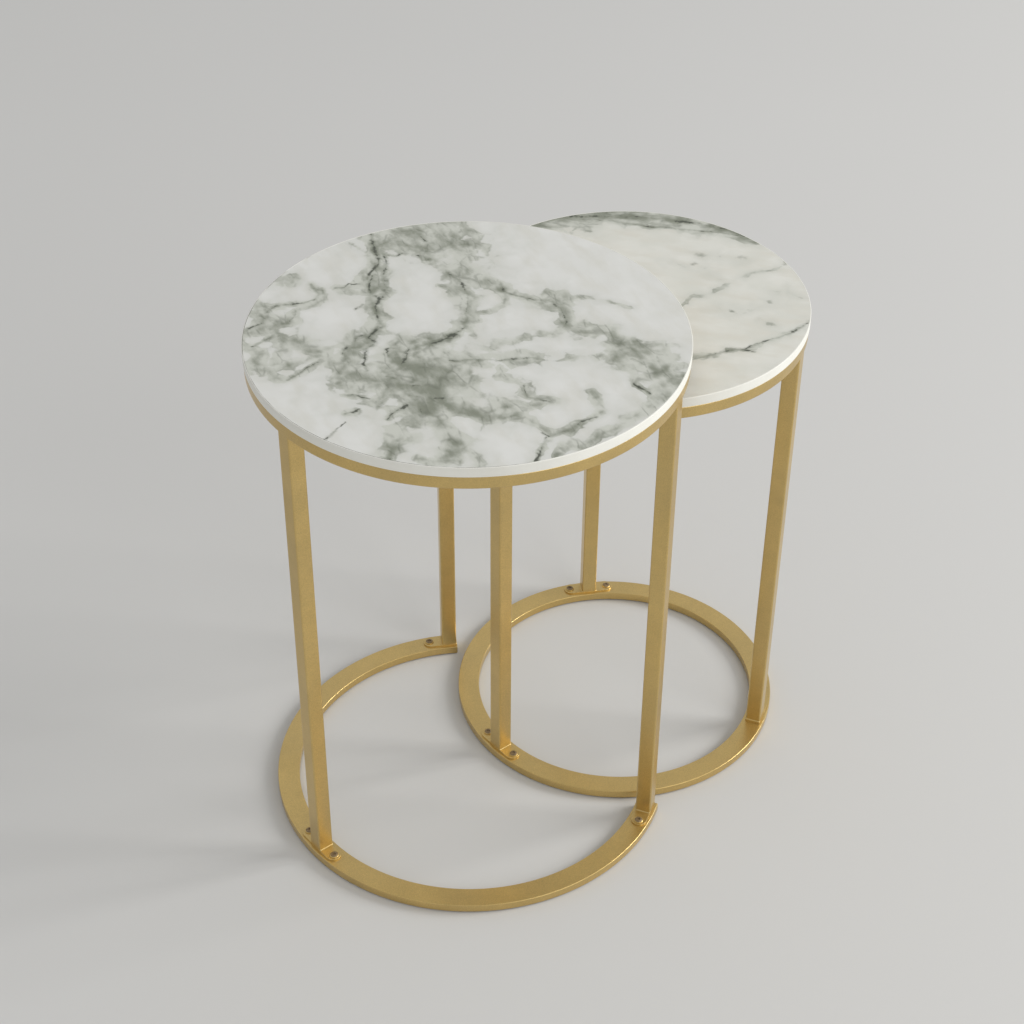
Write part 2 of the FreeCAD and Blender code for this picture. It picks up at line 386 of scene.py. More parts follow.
def make_tab_plate(table, name, size, sides):
    """A foot plate at the back: a flat strip, round at each end that carries a screw."""
    low, high = size.heights["leg_plates"]
    left, right = (side * (TAB_REACH if side in sides else TAB_HEEL) for side in (-1, 1))
    middle = (size.axis.x - size.post_radius, (left + right) / 2, (low + high) / 2)
    block = (size.post_width, right - left, high - low)
    plate = saw_block(f"{table}_plate_{name}", middle, block)
    tips = [side * TAB_REACH for side in sides]
    pick(plate, "edges",
         lambda e: stands_up(e) and min(abs(e.verts[0].co.y - tip) for tip in tips) < TOUCH)
    round_over(TAB_ROUND)
    pick(plate, "edges", lambda e: lies_at(e, high))
    round_over(TAB_ARRIS)
    return put_down(plate)


def make_screw(size, finishes):
    """A button head with a gold rim, a dark dome and a hexagon socket, at the world's middle."""
    low, high = size.heights["base_screws"]
    seat = size.heights["leg_plates"][1]
    turn_disc(SCREW_SIDES, SCREW_HEAD, SCREW_SKIRT, (0, 0, seat + SCREW_SKIRT / 2))
    screw = take_up("screw_master")
    for finish in finishes:
        screw.data.materials.append(finish)
    pick(screw, "faces", faces_up)
    radius, height = SCREW_HEAD, SCREW_SKIRT
    for inwards, up in SCREW_RIM:
        bpy.ops.mesh.inset(thickness=inwards, depth=up)
        radius, height = radius - inwards, height + up
    paint_picked(screw, 1)
    swell_dome(radius, SCREW_CROWN - height)
    bpy.ops.object.mode_set(mode="OBJECT")
    cut_socket(screw, high)
    bpy.ops.object.mode_set(mode="EDIT")
    pick(screw, "faces", lambda f: faces_down(f) and f.calc_center_median().z < seat + TOUCH)
    bpy.ops.mesh.inset(thickness=SCREW_HEAD - SHANK_RADIUS)
    push_down(seat - low - SHANK_POINT)
    bpy.ops.mesh.inset(thickness=SHANK_POINT, depth=SHANK_POINT)
    return put_down(screw, SCREW_ROUND_BELOW)


def swell_dome(radius, rise):
    """The picked round swells into a dome that stays flat in its middle."""
    reach = radius * DOME_SHARE / (1 - math.cos(DOME_TURN))
    turns = [DOME_TURN * step / DOME_STEPS for step in range(DOME_STEPS + 1)]
    for a, b in zip(turns, turns[1:]):
        bpy.ops.mesh.inset(
            thickness=reach * (math.cos(a) - math.cos(b)),
            depth=rise * (math.sin(b) - math.sin(a)) / math.sin(DOME_TURN),
        )


def cut_socket(screw, high):
    """A hexagon hole, taken out of the dome."""
    turn_disc(6, SOCKET_ACROSS / math.sqrt(3), 2 * SOCKET_DEPTH, (0, 0, high))
    key = bpy.context.object
    key.name = "socket_key"
    bpy.ops.object.transform_apply(location=True)
    for material in screw.data.materials:
        key.data.materials.append(material)
    for face in key.data.polygons:
        face.material_index = 1
    lay_down_tools()
    bpy.context.view_layer.objects.active = screw
    screw.select_set(True)
    cut = screw.modifiers.new("socket", "BOOLEAN")
    cut.operation, cut.solver, cut.object = "DIFFERENCE", "EXACT", key
    bpy.ops.object.modifier_apply(modifier=cut.name)
    bpy.data.objects.remove(key)


def make_pad(name, size, radius):
    """A strip of felt under the back of the base, with soft edges."""
    low, high = size.heights["base_pads"]
    middle = (size.axis.x - radius, 0, (low + high) / 2)
    pad = saw_block(name, middle, (PAD_WIDE, PAD_LONG, high - low))
    pick(pad, "edges", stands_up)
    round_over(PAD_CORNER)
    pick(pad, "edges", lambda e: lies_at(e, high) or lies_at(e, low))
    round_over(PAD_ARRIS)
    return put_down(pad, PAD_ROUND_BELOW)


# ---- finish tools

# The Mix node's sockets for colours
MIX_SHARE, MIX_FIRST, MIX_SECOND, MIX_RESULT = 0, 6, 7, 2

FLOAT, VECTOR = "NodeSocketFloat", "NodeSocketVector"


def set_up(tree, kind, **settings):
    node = tree.nodes.new(kind)
    for key, value in settings.items():
        setattr(node, key, value)
    return node


def feed(tree, socket, value):
    """A socket takes a link from another socket, or a plain value."""
    if isinstance(value, bpy.types.NodeSocket):
        tree.links.new(value, socket)
    else:
        socket.default_value = value


def sums(tree, operation, *values, clamp=False):
    node = set_up(tree, "ShaderNodeMath", operation=operation, use_clamp=clamp)
    for socket, value in zip(node.inputs, values):
        feed(tree, socket, value)
    return node.outputs[0]


def stir(tree, base, extra, times):
    """The base with so many times the extra in it."""
    return sums(tree, "MULTIPLY_ADD", extra, times, base)


def swing(tree, noise):
    """Noise about nought instead of about a half."""
    return sums(tree, "SUBTRACT", noise, 0.5)


def arrows(tree, operation, *values, scale=None):
    """Vector arithmetic. A length or a dot product comes out of the second socket."""
    node = set_up(tree, "ShaderNodeVectorMath", operation=operation)
    for socket, value in zip(node.inputs, values):
        feed(tree, socket, value)
    if scale is not None:
        feed(tree, node.inputs["Scale"], scale)
    return node.outputs[1 if operation in ("LENGTH", "DOT_PRODUCT", "DISTANCE") else 0]


def grain(tree, place, scale, detail=2.0, roughness=0.5, distortion=0.0, colour=False):
    """Noise from 0 to 1, or in three directions at once as a colour."""
    node = set_up(tree, "ShaderNodeTexNoise", noise_dimensions="3D")
    feed(tree, node.inputs["Vector"], place)
    node.inputs["Scale"].default_value = scale
    node.inputs["Detail"].default_value = detail
    node.inputs["Roughness"].default_value = roughness
    node.inputs["Distortion"].default_value = distortion
    return node.outputs["Color" if colour else "Fac"]


def ease(tree, value, start, end, low=0.0, high=1.0):
    """A smooth step: low below start, high above end."""
    node = set_up(tree, "ShaderNodeMapRange", interpolation_type="SMOOTHSTEP")
    for name, number in zip(("Value", "From Min", "From Max", "To Min", "To Max"),
                            (value, start, end, low, high)):
        feed(tree, node.inputs[name], number)
    return node.outputs["Result"]


def blend(tree, share, first, second):
    node = set_up(tree, "ShaderNodeMix", data_type="RGBA", clamp_factor=True)
    feed(tree, node.inputs[MIX_SHARE], share)
    feed(tree, node.inputs[MIX_FIRST], first)
    feed(tree, node.inputs[MIX_SECOND], second)
    return node.outputs[MIX_RESULT]


def new_finish(name):
    finish = bpy.data.materials.new(name)
    finish.use_nodes = True
    shader = finish.node_tree.nodes["Principled BSDF"]
    coords = set_up(finish.node_tree, "ShaderNodeTexCoord")
    return finish, finish.node_tree, shader, coords.outputs["Object"]


def colour_surface(tree, shader, colour, roughness):
    feed(tree, shader.inputs["Base Color"], colour)
    feed(tree, shader.inputs["Roughness"], roughness)


def raise_surface(tree, shader, height, strength, distance):
    bump = set_up(tree, "ShaderNodeBump")
    bump.inputs["Strength"].default_value = strength
    bump.inputs["Distance"].default_value = distance
    feed(tree, bump.inputs["Height"], height)
    tree.links.new(bump.outputs["Normal"], shader.inputs["Normal"])


def new_group(name, inputs, outputs):
    group = bpy.data.node_groups.new(name, "ShaderNodeTree")
    for way, sockets in (("INPUT", inputs), ("OUTPUT", outputs)):
        for label, kind in sockets.items():
            group.interface.new_socket(label, in_out=way, socket_type=kind)
    entry = group.nodes.new("NodeGroupInput")
    leave = group.nodes.new("NodeGroupOutput")
    return group, entry.outputs, leave.inputs


def use_group(tree, group, **values):
    node = set_up(tree, "ShaderNodeGroup", node_tree=group)
    for key, value in values.items():
        feed(tree, node.inputs[key.replace("_", " ")], value)
    return node.outputs


# ---- strokes, stone and flecks

# How near a place is that no stroke reaches, and how much a stroke without depth falls back.
FAR = -9.0
FAINTNESS = 1.1
NEXT_TO_NOTHING = 1e-7
BEDDING_STRETCH = 2.6
HALF = (0.5, 0.5, 0.5)
LEVEL = (1.0, 1.0, 0.0)
MM_PER_METRE = (1 / MM, 1 / MM, 0.0)
FINE_FLECKS, CLOUDED_FLECKS = 0.7, 0.3


def make_stroke_group():
    """How near a place is to one straight stroke: 1 on its line and 0 at its edge.

    A stroke with a depth below 1 falls back from that by its faintness. The place is
    handed on with the nearness, moved by next to nothing, so that the strokes are worked
    out one after another and not all at once.
    """
    group, given, result = new_group(
        "vein stroke",
        {"Place": VECTOR, "Start": VECTOR, "End": VECTOR, "Start Width": FLOAT,
         "End Width": FLOAT, "Depth": FLOAT, "Before": FLOAT},
        {"Nearness": FLOAT, "Onward": VECTOR},
    )
    run = arrows(group, "SUBTRACT", given["End"], given["Start"])
    offset = arrows(group, "SUBTRACT", given["Place"], given["Start"])
    reached = arrows(group, "DOT_PRODUCT", offset, run)
    along = sums(group, "DIVIDE", reached, arrows(group, "DOT_PRODUCT", run, run), clamp=True)
    across = arrows(group, "DISTANCE", offset, arrows(group, "SCALE", run, scale=along))
    growth = sums(group, "SUBTRACT", given["End Width"], given["Start Width"])
    width = stir(group, given["Start Width"], growth, times=along)
    inside = sums(group, "SUBTRACT", 1.0, sums(group, "DIVIDE", across, width))
    faint = stir(group, inside, given["Depth"], times=FAINTNESS)
    faint = sums(group, "SUBTRACT", faint, FAINTNESS)
    nearest = sums(group, "MAXIMUM", given["Before"], faint)
    feed(group, result["Nearness"], nearest)
    nothing = sums(group, "MULTIPLY", nearest, NEXT_TO_NOTHING)
    feed(group, result["Onward"], arrows(group, "ADD", given["Place"], nothing))
    return group


def make_stone_place_group():
    """The place on a slab's face in millimetres from its middle, pulled about as stone is.

    Flat is not pulled, Place is pulled slowly, Frayed quickly too, and Bedding is drawn
    out along the way that the stone's bedding lies.
    """
    group, given, result = new_group(
        "stone place",
        {"Object": VECTOR, "Middle": VECTOR, "Pull": FLOAT, "Fray": FLOAT, "Lie": FLOAT},
        {"Flat": VECTOR, "Place": VECTOR, "Frayed": VECTOR, "Bedding": VECTOR},
    )
    offset = arrows(group, "SUBTRACT", given["Object"], given["Middle"])
    flat = arrows(group, "MULTIPLY", offset, MM_PER_METRE)
    slow = grain(group, flat, scale=0.03, detail=3, roughness=0.55, colour=True)
    slow = arrows(group, "SUBTRACT", slow, HALF)
    place = arrows(group, "ADD", flat, arrows(group, "SCALE", slow, scale=given["Pull"]))
    quick = grain(group, flat, scale=0.15, detail=4, roughness=0.58, colour=True)
    quick = arrows(group, "SUBTRACT", quick, HALF)
    frayed = arrows(group, "ADD", place, arrows(group, "SCALE", quick, scale=given["Fray"]))
    bedding = set_up(group, "ShaderNodeMapping", vector_type="TEXTURE")
    lie = set_up(group, "ShaderNodeCombineXYZ")
    feed(group, lie.inputs["Z"], given["Lie"])
    feed(group, bedding.inputs["Rotation"], lie.outputs["Vector"])
    bedding.inputs["Scale"].default_value = (BEDDING_STRETCH, 1.0, 1.0)
    feed(group, bedding.inputs["Vector"], place)
    feed(group, result["Bedding"], bedding.outputs["Vector"])
    feed(group, result["Flat"], flat)
    feed(group, result["Place"], arrows(group, "MULTIPLY", place, LEVEL))
    feed(group, result["Frayed"], arrows(group, "MULTIPLY", frayed, LEVEL))
    return group


def make_fleck_group():
    """Fine grains of a metallic coat: a brightness about 1, and a height for the bump."""
    group, given, result = new_group(
        "coat flecks",
        {"Object": VECTOR, "Scale": FLOAT, "Contrast": FLOAT},
        {"Brightness": FLOAT, "Height": FLOAT},
    )
    place = arrows(group, "SCALE", given["Object"], scale=given["Scale"])
    fine = grain(group, place, scale=2600, detail=2, roughness=0.6)
    cloud = grain(group, place, scale=60, detail=4, roughness=0.6)
    single = sums(group, "MULTIPLY", fine, FINE_FLECKS)
    both = sums(group, "ADD", single, sums(group, "MULTIPLY", cloud, CLOUDED_FLECKS))
    contrast = sums(group, "MULTIPLY", swing(group, both), given["Contrast"])
    feed(group, result["Brightness"], sums(group, "ADD", contrast, 1.0))
    feed(group, result["Height"], fine)
    return group


STROKE = make_stroke_group()
STONE_PLACE = make_stone_place_group()
FLECKS = make_fleck_group()


def draw_strokes(tree, place, runs, breadth):
    """Goes through the strokes of clouds or veins, and keeps the greatest nearness."""
    near = FAR
    for depth, points in runs:
        for (x1, y1, w1), (x2, y2, w2) in zip(points, points[1:]):
            stroke = use_group(
                tree, STROKE, Place=place, Start=(x1, y1, 0.0), End=(x2, y2, 0.0),
                Start_Width=w1 * breadth, End_Width=w2 * breadth, Depth=depth, Before=near,
            )
            near, place = stroke["Nearness"], stroke["Onward"]
    return near


# ---- the stone's drawing

# Each cloud or vein: its depth, then its points: x, y and half width, in millimetres
# from the middle of the slab. At depth 1 a cloud fills its width, a shallower one less
# of it, and one near or below 0 shows only as a haze or where the noise lifts it.
LARGE_CLOUDS = [
    (1.0, [(41, 224, 6), (30, 199, 7), (21, 180, 8), (4, 159, 9), (-11, 144, 11), (-25, 125, 12),
       (-39, 105, 7), (-50, 86, 7), (-61, 68, 9), (-79, 57, 11), (-99, 53, 10), (-122, 47, 12),
       (-136, 22, 12), (-126, -4, 19), (-109, -23, 27), (-101, -46, 24), (-101, -71, 18)]),
    (1.8, [(-86, -12, 14), (-74, -28, 20), (-84, -46, 20), (-100, -66, 16)]),
    (0.9, [(-104, -6, 14), (-110, -30, 16), (-104, -56, 16)]),
    (0.9, [(-140, 174, 9), (-128, 164, 10), (-120, 159, 6)]),
    (0.65, [(-142, 162, 9), (-142, 142, 15), (-148, 119, 12), (-152, 102, 9), (-170, 87, 9),
       (-182, 75, 7)]),
    (0.9, [(-181, 136, 8), (-152, 137, 14), (-130, 129, 9), (-112, 142, 3)]),
    (0.8, [(-182, 115, 5), (-152, 118, 6)]),
    (0.8, [(-184, 119, 6), (-182, 95, 8), (-199, 83, 9), (-215, 79, 7)]),
    (0.75, [(-201, 79, 6), (-192, 64, 7), (-192, 48, 5)]),
    (0.75, [(-186, 64, 6), (-168, 64, 7), (-150, 60, 7), (-138, 58, 8)]),
    (0.9, [(-141, 99, 6), (-138, 77, 9), (-131, 60, 11), (-134, 40, 11), (-134, 20, 12)]),
    (0.8, [(-192, 44, 3), (-170, 47, 4), (-143, 52, 5)]),
    (0.8, [(-152, 10, 7), (-142, 16, 9), (-130, 6, 11)]),
    (1.0, [(-89, 18, 8), (-73, 23, 9), (-55, 23, 9), (-39, 25, 7), (-35, 19, 5)]),
    (1.0, [(-69, 15, 7), (-43, 11, 9), (-19, 8, 9), (5, 13, 9), (23, 29, 8), (41, 50, 9),
       (57, 82, 11)]),
    (0.9, [(-61, 3, 9), (-81, -7, 10)]),
    (0.7, [(-104, 201, 6), (-86, 204, 8), (-76, 196, 7), (-82, 188, 5)]),
    (0.6, [(-113, 156, 4), (-98, 150, 5), (-83, 148, 5), (-74, 154, 5), (-70, 172, 4)]),
    (0.6, [(-108, 142, 3), (-92, 140, 5), (-75, 142, 5), (-69, 149, 4), (-67, 161, 3)]),
    (0.9, [(-53, 154, 4), (-45, 147, 7), (-31, 144, 10), (-15, 149, 7)]),
    (0.6, [(-45, 140, 6), (-35, 129, 8)]),
    (0.7, [(-176, -37, 4), (-164, -39, 5)]),
    (0.8, [(-160, -10, 3), (-150, -21, 5), (-140, -33, 8), (-125, -39, 12)]),
    (0.9, [(-150, -68, 4), (-136, -63, 7), (-121, -61, 10)]),
    (0.85, [(-135, -86, 9), (-150, -90, 10), (-162, -102, 8), (-178, -114, 7), (-190, -120, 7)]),
    (0.8, [(-151, -105, 7), (-166, -108, 7), (-186, -118, 6)]),
    (1.0, [(-109, -76, 18), (-113, -98, 12), (-117, -116, 9), (-123, -136, 9), (-137, -148, 11),
       (-147, -150, 8)]),
    (0.8, [(-123, -150, 6), (-119, -165, 7), (-125, -174, 6)]),
    (0.75, [(-166, -136, 5), (-157, -150, 7), (-141, -160, 8)]),
    (0.95, [(-97, -76, 16), (-83, -98, 13), (-77, -118, 11), (-63, -134, 9), (-51, -139, 7)]),
    (0.9, [(-77, -119, 10), (-57, -118, 10), (-41, -126, 9), (-25, -138, 5), (-9, -142, 5)]),
    (0.75, [(-47, -148, 5), (-43, -165, 5), (-46, -183, 5)]),
    (0.55, [(-85, -208, 4), (-67, -197, 5), (-47, -185, 5), (-29, -190, 6), (-7, -188, 6),
       (21, -185, 4)]),
    (0.8, [(-61, -213, 4), (-46, -209, 7), (-29, -215, 7), (-11, -213, 6), (13, -215, 5),
       (39, -209, 7), (58, -205, 9), (72, -202, 8)]),
    (1.1, [(57, 200, 24), (82, 187, 30), (96, 177, 26)]),
    (0.75, [(77, 173, 30), (94, 147, 27), (86, 128, 24), (73, 104, 18), (59, 84, 12)]),
    (1.1, [(40, 208, 12), (44, 188, 18), (66, 166, 16)]),
    (0.9, [(110, 181, 12), (108, 157, 13), (102, 138, 12)]),
    (0.8, [(54, 150, 4), (56, 140, 5)]),
    (0.45, [(32, 92, 4), (36, 86, 5)]),
    (0.9, [(70, 74, 10), (84, 56, 7), (78, 34, 6), (92, 14, 9), (110, -4, 12), (104, -28, 8),
       (90, -46, 6), (98, -66, 10), (114, -84, 8), (106, -104, 9)]),
    (1.25, [(106, -104, 9), (111, -126, 11), (111, -145, 12), (106, -165, 14), (108, -184, 16),
       (110, -197, 16)]),
    (0.1, [(110, -4, 6), (132, -14, 5), (150, -36, 5), (160, -64, 4)]),
    (0.55, [(24, 31, 5), (44, 20, 6), (62, 22, 5), (78, 34, 6)]),
    (0.5, [(90, -46, 6), (66, -52, 5), (44, -40, 7), (22, -34, 8), (-6, -30, 9)]),
    (1.3, [(102, -126, 13), (111, -148, 15), (108, -172, 15)]),
    (0.6, [(100, -166, 7), (84, -161, 6), (74, -166, 5), (73, -191, 4)]),
    (0.85, [(-61, -11, 10), (-40, -30, 14), (-22, -40, 12), (-6, -56, 9), (21, -70, 10)]),
    (0.6, [(21, -70, 10), (40, -92, 7), (62, -100, 6), (84, -116, 8), (104, -120, 6)]),
    (0.6, [(-6, -56, 6), (-22, -78, 6), (-14, -104, 8), (-24, -124, 5), (-11, -142, 5)]),
    (0.6, [(30, -152, 5), (26, -168, 6), (21, -185, 4)]),
]

LARGE_VEINS = [
    (1.0, [(40, 224, 1.3), (32, 208, 1.6), (27, 194, 1.8), (20, 182, 2.8), (11, 168, 1.8),
       (3, 160, 1.6), (-7, 155, 1.2), (-19, 147, 1.0)]),
    (1.0, [(25, 175, 1.5), (17, 163, 1.7), (8, 150, 1.7), (-1, 142, 2.2), (-6, 132, 2.4),
       (-14, 124, 2.4), (-19, 115, 3.6), (-31, 108, 3.0), (-41, 101, 2.2), (-47, 90, 1.6),
       (-56, 76, 1.6), (-59, 65, 3.2), (-71, 61, 1.8), (-81, 56, 2.0), (-81, 47, 3.4),
       (-87, 42, 2.8), (-96, 40, 2.0), (-104, 32, 1.4), (-112, 22, 1.2), (-118, 9, 1.0)]),
    (0.8, [(-9, 149, 1.2), (-19, 140, 1.4), (-27, 131, 1.2), (-32, 120, 1.7), (-28, 112, 1.6)]),
    (0.8, [(-54, 154, 1.8), (-47, 148, 1.8), (-39, 152, 1.4), (-31, 145, 1.2)]),
    (0.9, [(-121, 49, 1.6), (-111, 55, 2.2), (-100, 56, 1.8), (-89, 64, 1.8), (-80, 62, 1.2)]),
    (0.9, [(-190, 44, 0.8), (-172, 46, 1.1), (-158, 50, 1.3), (-144, 50, 2.2)]),
    (0.8, [(-87, 19, 1.6), (-80, 29, 1.6), (-71, 24, 1.2)]),
    (1.0, [(-63, 14, 1.6), (-73, 4, 1.8), (-82, -1, 2.2), (-93, -6, 1.2)]),
    (0.9, [(-47, 11, 1.8), (-31, 8, 2.4), (-17, 8, 3.0), (3, 12, 2.0)]),
    (0.8, [(-181, 139, 1.4), (-166, 143, 1.6), (-150, 144, 1.2)]),
    (0.8, [(-182, 114, 1.4), (-165, 116, 1.4), (-154, 119, 1.2)]),
    (0.9, [(-134, 158, 2.0), (-120, 159, 1.8)]),
    (0.7, [(-130, 128, 1.6), (-120, 134, 1.2), (-112, 142, 1.0)]),
    (0.8, [(-113, 157, 1.2), (-100, 151, 1.4), (-84, 148, 1.2)]),
    (0.8, [(-70, 174, 1.2), (-72, 164, 1.4), (-67, 157, 1.2)]),
    (0.7, [(-61, 109, 1.0), (-50, 110, 1.2)]),
    (0.9, [(-218, -58, 1.3), (-208, -58, 1.7), (-196, -52, 0.9), (-184, -48, 0.7)]),
    (0.6, [(-176, -37, 1.1), (-168, -40, 2.0), (-161, -39, 1.2)]),
    (0.7, [(-146, -46, 1.8), (-138, -43, 1.5)]),
    (0.9, [(-151, -69, 1.2), (-142, -65, 1.6), (-135, -62, 1.8), (-123, -62, 2.6)]),
    (0.7, [(-158, -10, 1.0), (-150, -18, 1.3), (-144, -31, 1.1)]),
    (0.8, [(-115, -74, 1.4), (-118, -79, 1.6)]),
    (0.8, [(-111, -50, 1.6), (-106, -56, 2.0)]),
    (0.8, [(-93, -68, 1.8), (-87, -73, 2.2)]),
    (0.7, [(-97, -38, 1.4), (-92, -44, 1.4)]),
    (0.7, [(-108, -12, 1.3), (-104, -20, 1.4)]),
    (0.8, [(-192, -114, 1.2), (-186, -121, 1.5)]),
    (0.9, [(-50, -178, 1.4), (-48, -186, 1.8), (-39, -187, 2.2), (-29, -188, 1.4), (-23, -191, 2.4),
       (-10, -187, 1.6), (7, -189, 1.0)]),
    (0.9, [(-85, -208, 1.3), (-73, -200, 1.9), (-63, -194, 1.4), (-51, -185, 1.1)]),
    (0.8, [(-52, -139, 1.8), (-50, -145, 2.0)]),
    (0.35, [(100, -134, 1.6), (102, -150, 1.6)]),
    (0.6, [(73, -168, 1.2), (75, -191, 1.3)]),
    (0.35, [(57, 104, 1.8), (55, 82, 2.8), (45, 60, 1.6), (29, 39, 1.4), (13, 21, 1.6)]),
    (0.7, [(52, 152, 1.4), (51, 143, 1.6), (57, 139, 1.6)]),
    (0.6, [(78, 200, 3.0), (80, 189, 2.0), (77, 171, 1.2)]),
    (0.6, [(26, 173, 1.2), (32, 165, 1.6), (41, 167, 1.2)]),
    (0.3, [(-44, -26, 1.6), (-24, -38, 1.4), (-8, -54, 2.0), (19, -68, 1.6), (30, -82, 1.2)]),
    (0.3, [(86, 58, 1.4), (79, 36, 1.4), (92, 12, 1.8), (106, -4, 2.2), (101, -28, 1.4),
       (90, -46, 1.2)]),
    (0.4, [(-14, -104, 1.2), (-23, -123, 1.2), (-12, -140, 1.4)]),
]

SMALL_CLOUDS = [
    (1.4, [(41, 194, 9), (60, 181, 10), (78, 165, 10), (95, 153, 9), (112, 139, 9), (122, 128, 9),
       (135, 114, 8), (149, 96, 9), (160, 85, 9), (170, 70, 10), (180, 54, 9), (187, 38, 8),
       (191, 20, 7)]),
    (1.7, [(12, 190, 12), (54, 184, 13), (88, 170, 14), (106, 158, 12)]),
    (0.9, [(108, 156, 12), (118, 150, 12), (142, 125, 11), (162, 100, 11), (182, 64, 10)]),
    (0.8, [(74, 159, 6), (91, 142, 6), (108, 117, 5), (120, 102, 5), (137, 83, 6), (153, 67, 5),
       (170, 48, 6), (182, 29, 6), (190, 9, 6)]),
    (1.0, [(19, 188, 13), (-21, 182, 12), (-67, 162, 11), (-109, 130, 10), (-143, 91, 8),
       (-173, 51, 7)]),
    (0.2, [(39, 151, 6), (69, 155, 8), (87, 147, 6)]),
    (0.1, [(27, -42, 4), (54, -35, 5), (75, -43, 4), (95, -39, 5), (115, -36, 4), (139, -39, 4),
       (165, -52, 4), (188, -47, 5)]),
    (0.4, [(-27, -125, 4), (-1, -132, 5), (19, -136, 5), (31, -146, 4), (49, -146, 4),
       (69, -149, 4), (89, -150, 4), (106, -149, 5), (118, -147, 5)]),
    (0.4, [(-1, -132, 4), (-31, -117, 5), (-73, -117, 4), (-117, -98, 5), (-161, -84, 5)]),
    (-0.3, [(81, 34, 8), (95, 16, 9), (105, 0, 8), (101, -26, 8)]),
    (-0.4, [(119, 25, 8), (149, -8, 10), (156, -16, 8)]),
    (-0.3, [(59, -70, 10), (79, -96, 10), (111, -92, 10), (140, -84, 10), (146, -111, 8)]),
    (-0.3, [(83, -129, 8), (81, -111, 8)]),
    (0.15, [(27, -42, 4), (-7, -46, 4), (-45, -36, 5), (-85, -52, 5), (-127, -44, 5),
       (-177, -62, 5)]),
    (0.3, [(-45, -36, 5), (-61, 4, 6), (-93, 39, 7), (-99, 83, 7), (-109, 127, 7)]),
]

SMALL_VEINS = [
    (0.45, [(-29, -124, 1.2), (-15, -128, 1.6), (1, -132, 2.0), (17, -135, 2.8), (28, -142, 1.8),
       (49, -145, 1.7), (69, -149, 1.4), (89, -151, 1.8), (106, -149, 2.6), (118, -147, 2.4)]),
    (0.5, [(25, -139, 1.2), (33, -153, 1.4)]),
    (0.2, [(178, -49, 1.8), (188, -46, 2.2)]),
    (0.7, [(112, 138, 2.0), (118, 134, 3.2), (123, 126, 3.6)]),
    (0.8, [(149, 96, 1.6), (159, 86, 2.8), (167, 74, 2.0)]),
    (0.2, [(108, 117, 1.4), (121, 101, 2.0), (137, 83, 2.6), (153, 67, 1.4), (171, 47, 1.6),
       (184, 27, 1.8)]),
    (0.7, [(49, 191, 2.0), (63, 178, 2.6), (80, 163, 3.0), (97, 150, 2.0)]),
    (0.7, [(172, 66, 2.0), (184, 44, 2.6), (190, 18, 2.0)]),
    (0.5, [(118, 26, 2.4), (122, 24, 2.6)]),
    (0.45, [(100, 15, 2.2), (103, 15, 2.0)]),
    (0.45, [(151, -8, 3.0), (155, -12, 3.0)]),
    (0.7, [(-31, 180, 2.0), (-71, 160, 2.2), (-113, 128, 2.4), (-147, 87, 2.0), (-177, 47, 1.8)]),
    (0.4, [(-29, -124, 1.4), (-53, -115, 1.8), (-77, -119, 1.6), (-119, -98, 1.8),
       (-165, -84, 2.0)]),
    (0.0, [(-45, -36, 1.8), (-85, -52, 1.4), (-127, -44, 1.6), (-179, -62, 1.6)]),
]


# ---- finishes

# Colours of the finishes; a pair is the two ends of a blend
WARM_WHITES = ((0.72, 0.72, 0.69, 1), (0.68, 0.68, 0.645, 1), (0.655, 0.65, 0.60, 1))
CREAM_WHITES = ((0.72, 0.715, 0.66, 1), (0.66, 0.66, 0.60, 1), (0.66, 0.645, 0.575, 1))
WASHES = ((0.57, 0.58, 0.52, 1), (0.215, 0.23, 0.178, 1))
HAZE = (0.5, 0.512, 0.455, 1)
VEIN_SHADE = (0.2, 0.215, 0.165, 1)
CRACK_DARK = (0.11, 0.12, 0.09, 1)
VEIN_DARK = (0.06, 0.066, 0.05, 1)
EDGE_CREAMS = ((0.82, 0.815, 0.755, 1), (0.785, 0.775, 0.71, 1))
# The seam's grey joint line, and the cream painted as light where the seam is to look lit
SEAM_GREY_AND_PAINTED_LIGHT = ((0.17, 0.165, 0.14, 1), (0.8, 0.795, 0.745, 1))
GOLD_TONES = ((0.645, 0.463, 0.172, 1), (0.6, 0.438, 0.174, 1))
STEEL_TONES = ((0.31, 0.225, 0.125, 1), (0.19, 0.135, 0.075, 1))
FELT_TONES = ((0.045, 0.042, 0.038, 1), (0.12, 0.112, 0.1, 1))
FLOOR_TONES = ((0.605, 0.60, 0.585, 1), (0.625, 0.62, 0.605, 1))

# Each table's stone: its clouds, veins and whites, and the way its bedding lies
STONES = {
    "large": (LARGE_CLOUDS, LARGE_VEINS, WARM_WHITES, math.radians(72)),
    "small": (SMALL_CLOUDS, SMALL_VEINS, CREAM_WHITES, math.radians(-50)),
}

# How clouds reach along the pebbles' joints, widen, and cover the white body
JOINT_REACH = 0.15
CLOUD_SPREAD = 0.12
CLOUD_COVER = 0.96


